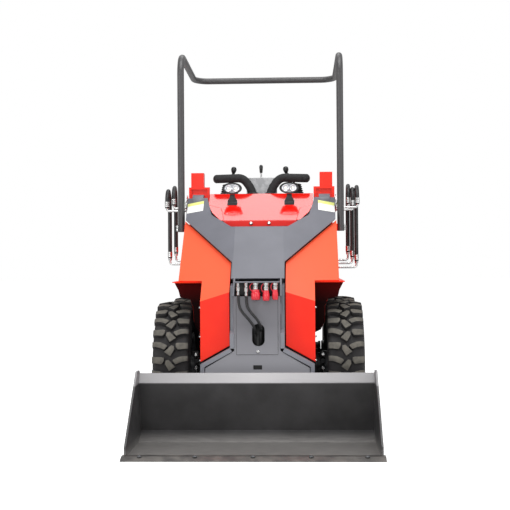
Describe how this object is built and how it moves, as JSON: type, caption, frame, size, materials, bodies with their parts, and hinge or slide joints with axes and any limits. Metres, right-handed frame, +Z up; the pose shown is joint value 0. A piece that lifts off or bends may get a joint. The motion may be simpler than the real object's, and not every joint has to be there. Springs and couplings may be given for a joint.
{
  "type": "stand-on mini wheeled skid steer loader",
  "caption": "Stand-on mini skid steer loader on lugged tyres, with a lift boom, front bucket, guard hoop, lever controls and a fold-up operator step.",
  "frame": {"origin": "on the ground at the middle of the machine's length and width", "axes": "+Z up, -Y towards the bucket, +X to the right of a viewer who faces the bucket"},
  "size_m": [1.162, 2.11, 2.0222],
  "materials": {
    "red_paint": "gloss",
    "boom_grey_paint": "satin",
    "dark_grey_paint": "satin",
    "black_paint": "satin",
    "bare_steel": "satin",
    "rod_chrome": "gloss",
    "worn_steel": "satin",
    "cast_black": "matte",
    "tyre_rubber": "matte",
    "black_rubber": "matte",
    "hose_rubber": "satin",
    "black_plastic": "satin",
    "red_plastic": "gloss",
    "console_grey": "gloss"
  },
  "bodies": {
    "chassis": {"centre_lever": "black_plastic", "chassis_frame": "dark_grey_paint", "console": "console_grey", "deck_plate": "black_paint", "drive_levers": "black_plastic", "engine_block": "cast_black", "fender_left": "red_paint", "fender_right": "red_paint", "gaiters": "black_rubber", "grab_handles": "black_rubber", "guard_hoop": "dark_grey_paint", "hood": "red_paint", "hose_left_inner": "hose_rubber", "hose_left_outer": "hose_rubber", "hose_right_inner": "hose_rubber", "hose_right_low": "hose_rubber", "hose_right_outer": "hose_rubber", "nose_panel_left": "red_paint", "nose_panel_right": "red_paint", "pod_ports": "bare_steel", "rear_door": "red_paint", "side_pod_left": "red_paint", "side_pod_right": "red_paint", "thigh_pad": "black_rubber", "tower_left": "red_paint", "tower_right": "red_paint", "wheel_motors": "cast_black", "work_lamps": "black_plastic"},
    "lift_arm": {"boom": "boom_grey_paint", "boom_cover": "boom_grey_paint", "boom_ports": "bare_steel", "couplers": "bare_steel", "coupler_caps": "red_plastic", "coupler_hose_left": "hose_rubber", "coupler_hose_right": "hose_rubber"},
    "bucket_and_plate": {"attach_plate": "boom_grey_paint", "bucket": "dark_grey_paint", "cutting_edge": "worn_steel"},
    "barrel_tilt": {"tilt_barrel": "black_paint"},
    "rod_tilt": {"tilt_rod": "rod_chrome"},
    "barrel_lift_left": {"lift_barrel_left": "black_paint"},
    "barrel_lift_right": {"lift_barrel_right": "black_paint"},
    "rod_lift_left": {"lift_rod_left": "rod_chrome"},
    "rod_lift_right": {"lift_rod_right": "rod_chrome"},
    "platform": {"step_platform": "black_paint"},
    "wheel_front_left": {"rim_front_left": "dark_grey_paint", "tyre_front_left": "tyre_rubber"},
    "wheel_front_right": {"rim_front_right": "dark_grey_paint", "tyre_front_right": "tyre_rubber"},
    "wheel_rear_left": {"rim_rear_left": "dark_grey_paint", "tyre_rear_left": "tyre_rubber"},
    "wheel_rear_right": {"rim_rear_right": "dark_grey_paint", "tyre_rear_right": "tyre_rubber"}
  },
  "joints": [
    {"name": "boom_lift", "type": "hinge", "parent": "chassis", "child": "lift_arm", "pos_m": [0, 0.199, 1.188], "axis": [-1, 0, 0], "range_deg": [0, 85], "deforming": ["hose_left_inner", "hose_left_outer", "hose_right_inner", "hose_right_low", "hose_right_outer"]},
    {"name": "bucket_tilt", "type": "hinge", "parent": "lift_arm", "child": "bucket_and_plate", "pos_m": [0, -0.505, 0.205], "axis": [-1, 0, 0], "range_deg": [-72, 20]},
    {"name": "barrel_tilt_swing", "type": "hinge", "parent": "lift_arm", "child": "barrel_tilt", "pos_m": [0, -0.372, 0.74], "axis": [1, 0, 0], "range_deg": [-6.01, 1.71]},
    {"name": "rod_tilt_slide", "type": "slide", "parent": "barrel_tilt", "child": "rod_tilt", "axis": [0, -0.0583, -0.9983], "range_m": [-0.11131, 0.03128]},
    {"name": "barrel_lift_left_swing", "type": "hinge", "parent": "chassis", "child": "barrel_lift_left", "pos_m": [-0.235, 0.06, 0.34], "axis": [1, 0, 0], "range_deg": [-0.05, 3.9]},
    {"name": "rod_lift_left_slide", "type": "slide", "parent": "barrel_lift_left", "child": "rod_lift_left", "axis": [0, -0.0604, 0.9982], "range_m": [-0.0005, 0.41289]},
    {"name": "barrel_lift_right_swing", "type": "hinge", "parent": "chassis", "child": "barrel_lift_right", "pos_m": [0.235, 0.06, 0.34], "axis": [1, 0, 0], "range_deg": [-0.05, 3.9]},
    {"name": "rod_lift_right_slide", "type": "slide", "parent": "barrel_lift_right", "child": "rod_lift_right", "axis": [0, -0.0604, 0.9982], "range_m": [-0.0005, 0.41289]},
    {"name": "platform_fold", "type": "hinge", "parent": "chassis", "child": "platform", "pos_m": [0, 0.776, 0.234], "axis": [1, 0, 0], "range_deg": [0, 85]},
    {"name": "wheel_front_left_turn", "type": "hinge", "parent": "chassis", "child": "wheel_front_left", "pos_m": [-0.439, -0.091, 0.33], "axis": [1, 0, 0], "continuous": true},
    {"name": "wheel_front_right_turn", "type": "hinge", "parent": "chassis", "child": "wheel_front_right", "pos_m": [0.439, -0.091, 0.33], "axis": [1, 0, 0], "continuous": true},
    {"name": "wheel_rear_left_turn", "type": "hinge", "parent": "chassis", "child": "wheel_rear_left", "pos_m": [-0.439, 0.619, 0.33], "axis": [1, 0, 0], "continuous": true},
    {"name": "wheel_rear_right_turn", "type": "hinge", "parent": "chassis", "child": "wheel_rear_right", "pos_m": [0.439, 0.619, 0.33], "axis": [1, 0, 0], "continuous": true}
  ],
  "couplings": [
    {"joint": "barrel_tilt_swing", "follows": "bucket_tilt", "ratio": 0.082763},
    {"joint": "rod_tilt_slide", "follows": "bucket_tilt", "m_per_rad": 0.088182},
    {"joint": "barrel_lift_left_swing", "follows": "boom_lift", "ratio": 0.045248},
    {"joint": "rod_lift_left_slide", "follows": "boom_lift", "m_per_rad": 0.27798},
    {"joint": "barrel_lift_right_swing", "follows": "boom_lift", "ratio": 0.045248},
    {"joint": "rod_lift_right_slide", "follows": "boom_lift", "m_per_rad": 0.27798}
  ]
}
